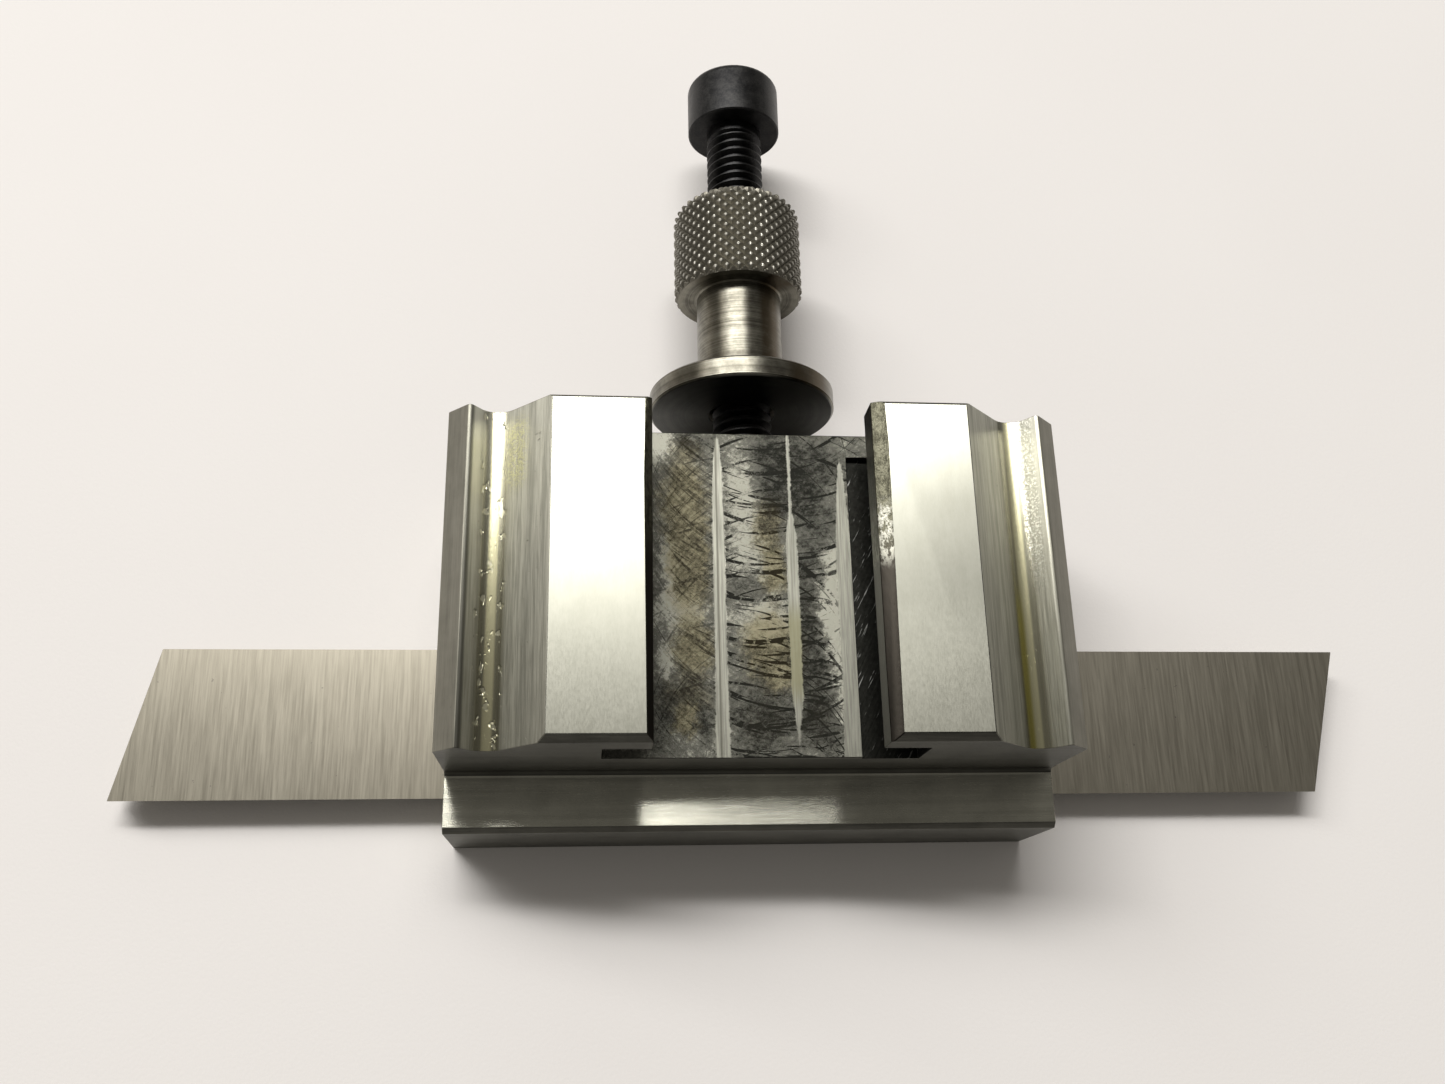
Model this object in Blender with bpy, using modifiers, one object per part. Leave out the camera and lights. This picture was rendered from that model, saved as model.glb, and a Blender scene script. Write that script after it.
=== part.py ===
"""Parting-off tool holder for a quick-change lathe tool post, with its blade and height adjuster.

The holder lies on its front face. X runs along the blade, Y along the height screw and Z up through
the rails that locate it on the tool post. The origin is on the front face, on the centre plane of
the T-slot, in the middle of the land between the block's top end and the clamp bar's pocket.
"""

import math

import bmesh
import bpy
from mathutils import Matrix, Vector

MM = 0.001
GAP = 0.3 * MM
OVERCUT = 2.0 * MM
ROUND_STEPS = 40
SHARP_ANGLE = math.radians(32)

# Holder block: one machined piece with two V-grooved rails, a T-slot and a foot below the rails.
BLOCK_HALF_WIDTH = 28.17 * MM
BLOCK_DEPTH = 25.86 * MM
TOP_END = 2.5 * MM
RAIL_LENGTH = 31.0 * MM
FOOT_LENGTH = 5.46 * MM
LEDGE_HEIGHT = 11.43 * MM
LEDGE_FILLET = 0.6 * MM
LEDGE_CHAMFER = 0.5 * MM
RAIL_END_CHAMFER = 0.65 * MM
RAIL_END = TOP_END - RAIL_LENGTH
FOOT_END = RAIL_END - FOOT_LENGTH

# Rails: a flat locating face, then a 90 degree V-groove between it and an outer ridge.
RAIL_FLAT_OUTER = 18.75 * MM
V_CENTRE = 23.75 * MM
V_BOTTOM_RADIUS = 1.8 * MM
RIDGE_CENTRE = 26.1 * MM
RIDGE_RADIUS = 0.35 * MM
RIDGE_DROP = 2.5 * MM

# T-slot: it runs right through. Its right wing was cut deeper, and that cut stops short of the top.
SLOT_HALF_WIDTH = 9.9 * MM
SLOT_DEPTH = 8.06 * MM
WING_OUTER = 14.1 * MM
WING_ROOF = 3.5 * MM
DEEP_INNER = 8.95 * MM
DEEP_DEPTH = 8.7 * MM
DEEP_STOP = 2.3 * MM

# Parting blade: a flat bar whose long edges lean in towards the front, with ground ends.
BLADE_FACE_HEIGHT = 3.86 * MM
BLADE_THICKNESS = 2.4 * MM
BLADE_TOP = -15.15 * MM
BLADE_BOTTOM = -29.76 * MM
BLADE_EDGE_LEAN = math.radians(12)
BLADE_LEFT_TOP = -56.35 * MM
BLADE_LEFT_BOTTOM = -59.77 * MM
BLADE_RIGHT_TOP = 62.6 * MM
BLADE_RIGHT_BOTTOM = 58.28 * MM

# Clamp bar: lies in a pocket above the blade, and its leaning lower face wedges the blade in.
POCKET_TOP = -2.5 * MM
POCKET_DEPTH = 5.2 * MM
BAR_RECESS = 0.2 * MM
BAR_END_INSET = 0.2 * MM

# Countersunk socket screws of the clamp bar, M5 x 14.
CLAMP_SCREW_X = 20.0 * MM
CLAMP_SCREW_Y = -8.6 * MM
CLAMP_SCREW_RADIUS = 2.5 * MM
CLAMP_SCREW_LENGTH = 14.0 * MM
CLAMP_HEAD_RADIUS = 4.6 * MM
CLAMP_HEAD_LAND = 0.3 * MM
CLAMP_HEAD_RECESS = 0.4 * MM
CLAMP_SOCKET_WIDTH = 3.0 * MM
CLAMP_SOCKET_DEPTH = 1.9 * MM

# Height screw: a socket cap screw, M6 x 50, screwed into the block's top end.
SCREW_AXIS_HEIGHT = 9.86 * MM
SCREW_RADIUS = 3.0 * MM
SCREW_LENGTH = 50.0 * MM
SCREW_UNDER_HEAD = 41.99 * MM
SCREW_HEAD_RADIUS = 5.0 * MM
SCREW_HEAD_HEIGHT = 6.0 * MM
SCREW_HEAD_ROUND = 0.8 * MM
SCREW_SOCKET_WIDTH = 5.0 * MM
SCREW_SOCKET_DEPTH = 3.0 * MM
SCREW_TIP_CHAMFER = 0.6 * MM
SCREW_HOLE_GAP = 0.25 * MM

# Height nut: a flange, a neck and a knurled head turned from one bar, threaded on the height screw.
NUT_BASE = 8.08 * MM
FLANGE_RADIUS = 9.42 * MM
FLANGE_THICKNESS = 2.2 * MM
FLANGE_CHAMFER = 0.25 * MM
NECK_RADIUS = 4.4 * MM
NECK_FILLET = 0.5 * MM
KNURL_START = 13.28 * MM
NUT_LENGTH = 23.65 * MM
KNURL_RADIUS = 6.75 * MM
KNURL_LOWER_CHAMFER = 0.4 * MM
KNURL_TOP_ROUND = 1.5 * MM


def clear_scene():
    for item in list(bpy.data.objects):
        bpy.data.objects.remove(item, do_unlink=True)


def new_collection(name):
    collection = bpy.data.collections.new(name)
    bpy.context.scene.collection.children.link(collection)
    return collection


def steel(name, colour, roughness):
    material = bpy.data.materials.new(name)
    material.use_nodes = True
    shader = material.node_tree.nodes["Principled BSDF"]
    shader.inputs["Base Color"].default_value = (*colour, 1.0)
    shader.inputs["Roughness"].default_value = roughness
    shader.inputs["Metallic"].default_value = 1.0
    return material


def add_object(name, mesh, collection):
    item = bpy.data.objects.new(name, mesh)
    collection.objects.link(item)
    return item


def arc(centre, radius, start, end, steps):
    """Points on a circular arc, in degrees counterclockwise from the first axis."""
    points = []
    for i in range(steps + 1):
        angle = math.radians(start + (end - start) * i / steps)
        points.append((centre[0] + radius * math.cos(angle), centre[1] + radius * math.sin(angle)))
    return points


def prism(name, outline, low, high, along, collection):
    """A flat outline extruded along world X or Y. The outline is (Y, Z) or (X, Z)."""
    curve = bpy.data.curves.new(name, "CURVE")
    curve.dimensions = "2D"
    curve.fill_mode = "BOTH"
    curve.extrude = (high - low) / 2
    spline = curve.splines.new("POLY")
    spline.points.add(len(outline) - 1)
    for point, place in zip(spline.points, outline):
        point.co = (place[0], place[1], 0.0, 1.0)
    spline.use_cyclic_u = True
    flat = add_object(name + "_outline", curve, collection)
    middle = (high + low) / 2
    if along == "X":
        turn = Matrix(((0, 0, 1, middle), (1, 0, 0, 0), (0, 1, 0, 0), (0, 0, 0, 1)))
    else:
        turn = Matrix(((1, 0, 0, 0), (0, 0, -1, middle), (0, 1, 0, 0), (0, 0, 0, 1)))
    bpy.context.view_layer.update()
    mesh = bpy.data.meshes.new_from_object(flat.evaluated_get(bpy.context.evaluated_depsgraph_get()))
    bpy.data.objects.remove(flat, do_unlink=True)
    mesh.transform(turn)
    shape = bmesh.new()
    shape.from_mesh(mesh)
    bmesh.ops.remove_doubles(shape, verts=shape.verts, dist=0.001 * MM)
    bmesh.ops.dissolve_limit(
        shape, angle_limit=math.radians(0.5), verts=shape.verts, edges=shape.edges
    )
    bmesh.ops.recalc_face_normals(shape, faces=shape.faces)
    shape.to_mesh(mesh)
    shape.free()
    mesh.name = name
    return add_object(name, mesh, collection)


def box(name, low, high, collection):
    shape = bmesh.new()
    bmesh.ops.create_cube(shape, size=1.0)
    size = Vector(high) - Vector(low)
    bmesh.ops.scale(shape, vec=size, verts=shape.verts)
    mesh = bpy.data.meshes.new(name)
    shape.to_mesh(mesh)
    shape.free()
    item = add_object(name, mesh, collection)
    item.location = (Vector(low) + Vector(high)) / 2
    return item


def turned(name, profile, closed, collection, steps=ROUND_STEPS):
    """A profile of (radius, height) points swept about its own Z by a Screw modifier, then made a mesh."""
    mesh = bpy.data.meshes.new(name + "_profile")
    edges = [(i, i + 1) for i in range(len(profile) - 1)]
    if closed:
        edges.append((len(profile) - 1, 0))
    mesh.from_pydata([(radius, 0.0, height) for radius, height in profile], edges, [])
    sweep = add_object(name + "_sweep", mesh, collection)
    screw = sweep.modifiers.new("turn", "SCREW")
    screw.axis = "Z"
    screw.steps = steps
    screw.render_steps = steps
    screw.use_merge_vertices = True
    screw.merge_threshold = 0.001 * MM
    bpy.context.view_layer.update()
    solid = bpy.data.meshes.new_from_object(sweep.evaluated_get(bpy.context.evaluated_depsgraph_get()))
    bpy.data.objects.remove(sweep, do_unlink=True)
    solid.name = name
    solid.shade_smooth()
    solid.set_sharp_from_angle(angle=SHARP_ANGLE)
    return add_object(name, solid, collection)


def hexagon(name, width, low, high, collection):
    """A hexagonal prism along its own Z, width across its flats."""
    shape = bmesh.new()
    radius = width / 2 / math.cos(math.pi / 6)
    bmesh.ops.create_cone(
        shape, cap_ends=True, segments=6, radius1=radius, radius2=radius, depth=high - low
    )
    bmesh.ops.translate(shape, vec=(0.0, 0.0, (high + low) / 2), verts=shape.verts)
    mesh = bpy.data.meshes.new(name)
    shape.to_mesh(mesh)
    shape.free()
    return add_object(name, mesh, collection)


def cut(item, cutter):
    boolean = item.modifiers.new("cut_" + cutter.name, "BOOLEAN")
    boolean.operation = "DIFFERENCE"
    boolean.object = cutter
    cutter.hide_render = True
    cutter.display_type = "WIRE"


def along_y(item, x, y, z):
    """Stand a turned piece with its own Z along world +Y."""
    item.location = (x, y, z)
    item.rotation_euler = (-math.pi / 2, 0.0, 0.0)


def facing_down(item, x, y, z):
    """Stand a turned piece with its own Z along world -Z."""
    item.location = (x, y, z)
    item.rotation_euler = (math.pi, 0.0, 0.0)


def rail_outline():
    """The block's section in X and Z, from the T-slot's floor round one side, then mirrored."""
    v_sharp = BLOCK_DEPTH - (V_CENTRE - RAIL_FLAT_OUTER)
    v_middle = (V_CENTRE, v_sharp + V_BOTTOM_RADIUS * math.sqrt(2))
    ridge_middle = (RIDGE_CENTRE, BLOCK_DEPTH - RIDGE_DROP - RIDGE_RADIUS)
    side_top = ridge_middle[1] + RIDGE_RADIUS * math.sqrt(2) - (BLOCK_HALF_WIDTH - RIDGE_CENTRE)
    half = [
        (WING_OUTER, BLOCK_DEPTH - SLOT_DEPTH),
        (WING_OUTER, BLOCK_DEPTH - WING_ROOF),
        (SLOT_HALF_WIDTH, BLOCK_DEPTH - WING_ROOF),
        (SLOT_HALF_WIDTH, BLOCK_DEPTH),
        (RAIL_FLAT_OUTER, BLOCK_DEPTH),
    ]
    half += arc(v_middle, V_BOTTOM_RADIUS, 225, 315, 6)
    half += arc(ridge_middle, RIDGE_RADIUS, 135, 45, 3)
    half += [(BLOCK_HALF_WIDTH, side_top), (BLOCK_HALF_WIDTH, 0.0)]
    return half + [(-x, z) for x, z in reversed(half)]


def edge_lean(height):
    """How far the blade's long edges lean in at a height below its back face."""
    return (BLADE_FACE_HEIGHT - height) * math.tan(BLADE_EDGE_LEAN)


def bar_lower_face(height):
    return BLADE_TOP + GAP - edge_lean(height)


def holder_block(parts, cutters):
    block = prism("holder_block", rail_outline(), FOOT_END, TOP_END, "Y", parts)
    width = BLOCK_HALF_WIDTH + OVERCUT

    ledge = [(FOOT_END - OVERCUT, LEDGE_HEIGHT), (FOOT_END - OVERCUT, BLOCK_DEPTH + OVERCUT)]
    ledge += [(RAIL_END, BLOCK_DEPTH + OVERCUT)]
    corner = (RAIL_END - LEDGE_FILLET, LEDGE_HEIGHT + LEDGE_FILLET)
    ledge += arc(corner, LEDGE_FILLET, 0, -90, 4)
    cut(block, prism("ledge_step", ledge, -width, width, "X", cutters))

    chamfer = RAIL_END_CHAMFER
    rail_corner = [
        (RAIL_END - OVERCUT, BLOCK_DEPTH - chamfer - OVERCUT),
        (RAIL_END + chamfer + OVERCUT, BLOCK_DEPTH + OVERCUT),
        (RAIL_END - OVERCUT, BLOCK_DEPTH + OVERCUT),
    ]
    cut(block, prism("rail_end_chamfer", rail_corner, -width, width, "X", cutters))

    chamfer = LEDGE_CHAMFER
    ledge_corner = [
        (FOOT_END - OVERCUT, LEDGE_HEIGHT - chamfer - OVERCUT),
        (FOOT_END + chamfer + OVERCUT, LEDGE_HEIGHT + OVERCUT),
        (FOOT_END - OVERCUT, LEDGE_HEIGHT + OVERCUT),
    ]
    cut(block, prism("ledge_chamfer", ledge_corner, -width, width, "X", cutters))

    low = (DEEP_INNER, RAIL_END - OVERCUT, BLOCK_DEPTH - DEEP_DEPTH)
    high = (WING_OUTER, TOP_END - DEEP_STOP, BLOCK_DEPTH - SLOT_DEPTH + 1.0 * MM)
    cut(block, box("deeper_wing", low, high, cutters))

    floor = BLADE_FACE_HEIGHT + GAP
    step = bar_lower_face(POCKET_DEPTH - GAP) - GAP
    front = [
        (POCKET_TOP, -OVERCUT),
        (POCKET_TOP, POCKET_DEPTH),
        (step, POCKET_DEPTH),
        (step, floor),
        (BLADE_BOTTOM - GAP + edge_lean(floor), floor),
        (BLADE_BOTTOM - GAP + edge_lean(-OVERCUT), -OVERCUT),
    ]
    cut(block, prism("front_recess", front, -width, width, "X", cutters))

    for side, name in ((-1, "left"), (1, "right")):
        depth = CLAMP_HEAD_RECESS + CLAMP_SCREW_LENGTH + 1.0 * MM
        radius = CLAMP_SCREW_RADIUS + SCREW_HOLE_GAP
        profile = [(0.0, 0.0), (radius, 0.0), (radius, -depth), (0.0, -depth)]
        hole = turned("clamp_thread_" + name, profile, False, cutters, 32)
        hole.location = (side * CLAMP_SCREW_X, CLAMP_SCREW_Y, depth)
        cut(block, hole)

    tip = SCREW_UNDER_HEAD - SCREW_LENGTH
    depth = TOP_END + OVERCUT - tip + 1.0 * MM
    radius = SCREW_RADIUS + SCREW_HOLE_GAP
    profile = [(0.0, 0.0), (radius, 0.0), (radius, -depth), (0.0, -depth)]
    hole = turned("height_thread", profile, False, cutters, 32)
    along_y(hole, 0.0, TOP_END + OVERCUT, SCREW_AXIS_HEIGHT)
    cut(block, hole)
    block.data.materials.append(steel("ground_steel", (0.56, 0.54, 0.5), 0.32))
    return block


def slice_end(mesh, top, bottom, side):
    """Cut one end of the blade along the line through its top and bottom corners."""
    along = Vector((top - bottom, BLADE_TOP - BLADE_BOTTOM, 0.0)).normalized()
    outward = along.cross(Vector((0.0, 0.0, 1.0))) * side
    shape = bmesh.new()
    shape.from_mesh(mesh)
    everything = shape.verts[:] + shape.edges[:] + shape.faces[:]
    bmesh.ops.bisect_plane(
        shape, geom=everything, plane_co=(top, BLADE_TOP, 0.0), plane_no=outward, clear_outer=True
    )
    bmesh.ops.holes_fill(shape, edges=shape.edges, sides=0)
    shape.to_mesh(mesh)
    shape.free()


def parting_blade(parts):
    front = BLADE_FACE_HEIGHT - BLADE_THICKNESS
    lean = edge_lean(front)
    section = [
        (BLADE_BOTTOM, BLADE_FACE_HEIGHT),
        (BLADE_BOTTOM + lean, front),
        (BLADE_TOP - lean, front),
        (BLADE_TOP, BLADE_FACE_HEIGHT),
    ]
    low = BLADE_LEFT_BOTTOM - OVERCUT
    high = BLADE_RIGHT_TOP + OVERCUT
    blade = prism("parting_blade", section, low, high, "X", parts)
    slice_end(blade.data, BLADE_LEFT_TOP, BLADE_LEFT_BOTTOM, -1)
    slice_end(blade.data, BLADE_RIGHT_TOP, BLADE_RIGHT_BOTTOM, 1)
    blade.data.materials.append(steel("blade_steel", (0.52, 0.48, 0.42), 0.4))
    return blade


def clamp_bar(parts, cutters):
    back = POCKET_DEPTH - GAP
    section = [
        (POCKET_TOP - GAP, BAR_RECESS),
        (POCKET_TOP - GAP, back),
        (bar_lower_face(back), back),
        (bar_lower_face(BAR_RECESS), BAR_RECESS),
    ]
    half = BLOCK_HALF_WIDTH - BAR_END_INSET
    bar = prism("clamp_bar", section, -half, half, "X", parts)
    clear = CLAMP_SCREW_RADIUS + GAP
    wide = CLAMP_HEAD_RADIUS + GAP
    cone = CLAMP_HEAD_RECESS + CLAMP_HEAD_LAND
    for side, name in ((-1, "left"), (1, "right")):
        profile = [
            (0.0, OVERCUT),
            (wide, OVERCUT),
            (wide, -cone),
            (clear, -cone - (wide - clear)),
            (clear, -POCKET_DEPTH - OVERCUT),
            (0.0, -POCKET_DEPTH - OVERCUT),
        ]
        hole = turned("countersink_" + name, profile, False, cutters, 32)
        facing_down(hole, side * CLAMP_SCREW_X, CLAMP_SCREW_Y, 0.0)
        cut(bar, hole)
    bar.data.materials.append(steel("clamp_steel", (0.4, 0.39, 0.37), 0.4))
    return bar


def clamp_screw(name, x, parts, cutters):
    land = CLAMP_HEAD_LAND
    cone = land + CLAMP_HEAD_RADIUS - CLAMP_SCREW_RADIUS
    end = CLAMP_SCREW_LENGTH
    chamfer = SCREW_TIP_CHAMFER
    profile = [
        (0.0, 0.0),
        (CLAMP_HEAD_RADIUS, 0.0),
        (CLAMP_HEAD_RADIUS, -land),
        (CLAMP_SCREW_RADIUS, -cone),
        (CLAMP_SCREW_RADIUS, chamfer - end),
        (CLAMP_SCREW_RADIUS - chamfer, -end),
        (0.0, -end),
    ]
    screw = turned(name, profile, False, parts, 32)
    facing_down(screw, x, CLAMP_SCREW_Y, CLAMP_HEAD_RECESS)
    socket = hexagon(name + "_socket", CLAMP_SOCKET_WIDTH, -CLAMP_SOCKET_DEPTH, OVERCUT, cutters)
    facing_down(socket, x, CLAMP_SCREW_Y, CLAMP_HEAD_RECESS)
    cut(screw, socket)
    screw.data.materials.append(steel(name + "_oxide", (0.05, 0.05, 0.05), 0.45))
    return screw


def height_screw(parts, cutters):
    head = SCREW_HEAD_HEIGHT
    chamfer = SCREW_TIP_CHAMFER
    corner = (SCREW_HEAD_RADIUS - SCREW_HEAD_ROUND, head - SCREW_HEAD_ROUND)
    profile = [(0.0, head)]
    profile += arc(corner, SCREW_HEAD_ROUND, 90, 0, 4)
    profile += [
        (SCREW_HEAD_RADIUS, 0.0),
        (SCREW_RADIUS, 0.0),
        (SCREW_RADIUS, chamfer - SCREW_LENGTH),
        (SCREW_RADIUS - chamfer, -SCREW_LENGTH),
        (0.0, -SCREW_LENGTH),
    ]
    screw = turned("height_screw", profile, False, parts)
    along_y(screw, 0.0, SCREW_UNDER_HEAD, SCREW_AXIS_HEIGHT)
    low = head - SCREW_SOCKET_DEPTH
    socket = hexagon("height_screw_socket", SCREW_SOCKET_WIDTH, low, head + OVERCUT, cutters)
    along_y(socket, 0.0, SCREW_UNDER_HEAD, SCREW_AXIS_HEIGHT)
    cut(screw, socket)
    screw.data.materials.append(steel("black_oxide", (0.04, 0.04, 0.04), 0.4))
    return screw


def height_nut(parts):
    bore = SCREW_RADIUS + SCREW_HOLE_GAP
    chamfer = FLANGE_CHAMFER
    lower = KNURL_LOWER_CHAMFER
    knurl_corner = (KNURL_RADIUS - KNURL_TOP_ROUND, NUT_LENGTH - KNURL_TOP_ROUND)
    fillet_corner = (NECK_RADIUS + NECK_FILLET, FLANGE_THICKNESS + NECK_FILLET)
    profile = [(bore, 0.0), (bore, NUT_LENGTH)]
    profile += arc(knurl_corner, KNURL_TOP_ROUND, 90, 0, 5)
    profile += [
        (KNURL_RADIUS, KNURL_START + lower),
        (KNURL_RADIUS - lower, KNURL_START),
        (NECK_RADIUS, KNURL_START),
    ]
    profile += arc(fillet_corner, NECK_FILLET, 180, 270, 3)
    profile += [
        (FLANGE_RADIUS - chamfer, FLANGE_THICKNESS),
        (FLANGE_RADIUS, FLANGE_THICKNESS - chamfer),
        (FLANGE_RADIUS, chamfer),
        (FLANGE_RADIUS - chamfer, 0.0),
    ]
    nut = turned("height_nut", profile, True, parts, 48)
    along_y(nut, 0.0, NUT_BASE, SCREW_AXIS_HEIGHT)
    nut.data.materials.append(steel("turned_steel", (0.42, 0.38, 0.33), 0.35))
    return nut


def main():
    clear_scene()
    parts = new_collection("parting_tool_holder")
    cutters = new_collection("cutters")
    holder_block(parts, cutters)
    parting_blade(parts)
    clamp_bar(parts, cutters)
    clamp_screw("clamp_screw_left", -CLAMP_SCREW_X, parts, cutters)
    clamp_screw("clamp_screw_right", CLAMP_SCREW_X, parts, cutters)
    height_screw(parts, cutters)
    height_nut(parts)


main()
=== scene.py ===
"""Looks of the parting-off tool holder: finished steel pieces, plain studio light and the camera.

Everything is in the row frame: X along the blade, Y along the height screw, Z up through the rails.
Sizes are named in millimetres, as in the part's own source, and objects keep their origin at zero,
so a material's object coordinates are row positions too.
"""

import math

import bmesh
import bpy
from mathutils import Matrix, Vector


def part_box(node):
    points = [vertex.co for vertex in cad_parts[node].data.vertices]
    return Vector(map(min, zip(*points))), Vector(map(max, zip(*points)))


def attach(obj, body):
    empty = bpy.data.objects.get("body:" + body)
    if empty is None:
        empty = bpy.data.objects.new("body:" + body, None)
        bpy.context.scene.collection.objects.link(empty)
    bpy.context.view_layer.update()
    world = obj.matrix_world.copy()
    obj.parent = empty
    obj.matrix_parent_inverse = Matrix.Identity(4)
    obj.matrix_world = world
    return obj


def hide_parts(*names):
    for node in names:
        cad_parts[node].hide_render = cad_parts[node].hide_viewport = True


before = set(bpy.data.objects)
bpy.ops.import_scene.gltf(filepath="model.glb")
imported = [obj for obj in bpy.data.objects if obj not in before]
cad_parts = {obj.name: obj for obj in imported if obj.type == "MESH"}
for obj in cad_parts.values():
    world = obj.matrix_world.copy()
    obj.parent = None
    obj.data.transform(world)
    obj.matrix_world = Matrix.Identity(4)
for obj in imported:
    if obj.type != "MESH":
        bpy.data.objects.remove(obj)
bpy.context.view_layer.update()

MM = 0.001
WELD = 0.002 * MM
SHARP = math.radians(30)

# How near to a plane a face must lie to count as part of it.
CLOSE = 0.1

# Sizes that the finished pieces share with the part's source.
BLOCK_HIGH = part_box("holder_block")[1] / MM
RAIL_TOP = BLOCK_HIGH.z
RAIL_END = -28.5
FLAT_OUTER = 18.75
RIDGE = 26.1
RAIL_TOP_END = 2.5
TOP_END_CHAMFER = 0.22
V_CENTRE = 23.75
SLOT_HALF_WIDTH = 9.9
SLOT_FLOOR = RAIL_TOP - 8.06
WING_OUTER = 14.1
WING_ROOF = RAIL_TOP - 3.5
DEEP_FLOOR = RAIL_TOP - 8.7
SCREW_AXIS = 9.86
LEDGE = 11.43

# Chamfers filed by hand on the slot's edges: (width, drop) at the top end and at the rail end.
FILED_RIGHT = ((1.18, 0.5), (0.98, 0.75))
FILED_LEFT = ((0.64, 0.45), (0.52, 0.5))
EDGE_BREAK = 0.07
EDGE_ANGLE = math.radians(40)

# Height screw, M6 x 50.
SCREW_UNDER_HEAD = 41.99
SCREW_LENGTH = 50.0
SCREW_OUTER = 3.0
SCREW_CORE = 2.4
SCREW_PITCH = 1.0
SCREW_PLAIN = 1.4
SCREW_TIP = 0.6
SCREW_COLUMNS = 48
HEAD_RADIUS = 5.0
HEAD_HEIGHT = 6.0
HEAD_ROUND = 0.8
HEAD_SOCKET = 5.0
HEAD_SOCKET_DEPTH = 3.0

# Clamp screws, M5 x 14, countersunk.
CLAMP_SCREW_X = 20.0
CLAMP_SCREW_Y = -8.6
CLAMP_HEAD = 4.6
CLAMP_LAND = 0.3
CLAMP_RECESS = 0.4
CLAMP_OUTER = 2.5
CLAMP_CORE = 2.0
CLAMP_PITCH = 0.8
CLAMP_LENGTH = 14.0
CLAMP_COLUMNS = 40
CLAMP_SOCKET = 3.0
CLAMP_SOCKET_DEPTH = 1.9

# Height nut, turned and knurled.
NUT_BASE = 8.08
NUT_LENGTH = 23.65
NUT_BORE = 3.06
FLANGE_RADIUS = 9.42
FLANGE_THICKNESS = 2.2
NECK_RADIUS = 4.4
KNURL_START = 13.28
KNURL_RADIUS = 6.75
KNURL_ROUND = 1.5
KNURL_COUNT = 34
KNURL_PITCH = 1.17
KNURL_DEPTH = 0.36
KNURL_SAMPLES = 10
KNURL_FLAT = 0.28
KNURL_FADE = 0.9
KNURL_CHAMFER = 0.4
KNURL_SHARP = math.radians(35)

# Tones in pairs: the dark and the light end of a steel's grain, or the knurl's grooves and tips.
# The next pair is painted shade: the rail end, the foot and the block's other end faces take it, painted
# as dark as the shade they stand in.
END_SHADE_TONES = ((0.066, 0.065, 0.056), (0.135, 0.132, 0.113))
LEDGE_TONES = ((0.40, 0.395, 0.335), (0.62, 0.61, 0.52))
BEVEL_TONES = ((0.2, 0.192, 0.16), (0.315, 0.302, 0.255))
BODY_TONES = ((0.34, 0.335, 0.285), (0.50, 0.49, 0.42))
RAIL_TONES = ((0.44, 0.437, 0.37), (0.50, 0.495, 0.425))
GROOVE_TONES = ((0.235, 0.23, 0.192), (0.40, 0.39, 0.33))
STREAK_TONES = ((0.17, 0.168, 0.142), (0.27, 0.267, 0.225))
RUST_TONES = ((0.022, 0.018, 0.010), (0.28, 0.25, 0.15))
WING_TONES = ((0.006, 0.006, 0.005), (0.03, 0.03, 0.026))
BLADE_TONES = ((0.215, 0.197, 0.158), (0.295, 0.273, 0.222))
CLAMP_TONES = ((0.26, 0.25, 0.22), (0.46, 0.44, 0.39))
TURNED_TONES = ((0.10, 0.093, 0.075), (0.30, 0.288, 0.24))
# The knurl's tips are painted light and its grooves dark: partly wear, partly a painted highlight and
# painted shade.
KNURL_TONES = ((0.26, 0.247, 0.207), (0.86, 0.84, 0.76))
OXIDE_TONES = ((0.021, 0.021, 0.022), (0.050, 0.049, 0.048))

# Painted shade: how much darker the right-hand rail is painted in the middle of its length, where its
# highlight fades.
RAIL_PAINTED_SHADE = 0.36

# The slot floor's tones: oily, plain and worn bright.
SLOT_DARK = (0.018, 0.018, 0.015)
SLOT_PLAIN = (0.135, 0.133, 0.112)
SLOT_WORN = (0.44, 0.433, 0.365)

# Stains and marks on the steel, and painted highlights and painted shade.
GROOVE_LIT = (0.56, 0.55, 0.46)
GROOVE_STAIN = (0.27, 0.25, 0.13)
GROOVE_BOTTOM = (0.50, 0.475, 0.31)
GROOVE_SHADED = (0.10, 0.093, 0.06)
GROOVE_YELLOW = (0.38, 0.34, 0.09)
GROOVE_CREST = (0.05, 0.048, 0.04)
GROOVE_BRASSY = (0.46, 0.44, 0.24)
GROOVE_SPARKLE = (0.85, 0.84, 0.75)
GROOVE_PIT = (0.14, 0.13, 0.10)
GROOVE_DENT = (0.60, 0.58, 0.44)
STREAK_YELLOW = (0.185, 0.177, 0.105)
STREAK_GROOVE = (0.1, 0.096, 0.078)
WING_SCRATCH = (0.32, 0.32, 0.3)
FILED_TOP = (0.078, 0.075, 0.054)
FILED_LOW = (0.03, 0.0265, 0.022)
FILED_SPECK = (0.04, 0.038, 0.027)
FILED_SCUFF = (0.24, 0.235, 0.2)
BLADE_SPOT = (0.12, 0.11, 0.1)
TURNED_PIT = (0.1, 0.09, 0.08)
TURNED_SIDE_SHADE = (0.075, 0.058, 0.036)
TURNED_UNDER_SHADE = (0.055, 0.058, 0.055)
KNURL_DULL = (0.2, 0.18, 0.15)
KNURL_SIDE_SHADE = (0.07, 0.062, 0.048)

# Paper under the holder: its tones near and far, half its width, and how far below it lies.
PAPER_TONES = ((0.86, 0.825, 0.805), (0.90, 0.87, 0.85))
PAPER_FAR = (0.45, 0.43, 0.41)
FLOOR_HALF = 2000.0
FLOOR_DROP = 0.02

# Camera, at the photograph's viewing angle.
CAMERA_PLACE = Vector((-15.046, -48.7, 132.903)) * MM
CAMERA_DOWN = math.radians(70.722)
CAMERA_YAW = math.radians(5.595)
CAMERA_ROLL = math.radians(-1.34)
CAMERA_LENS = 32.99

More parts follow.
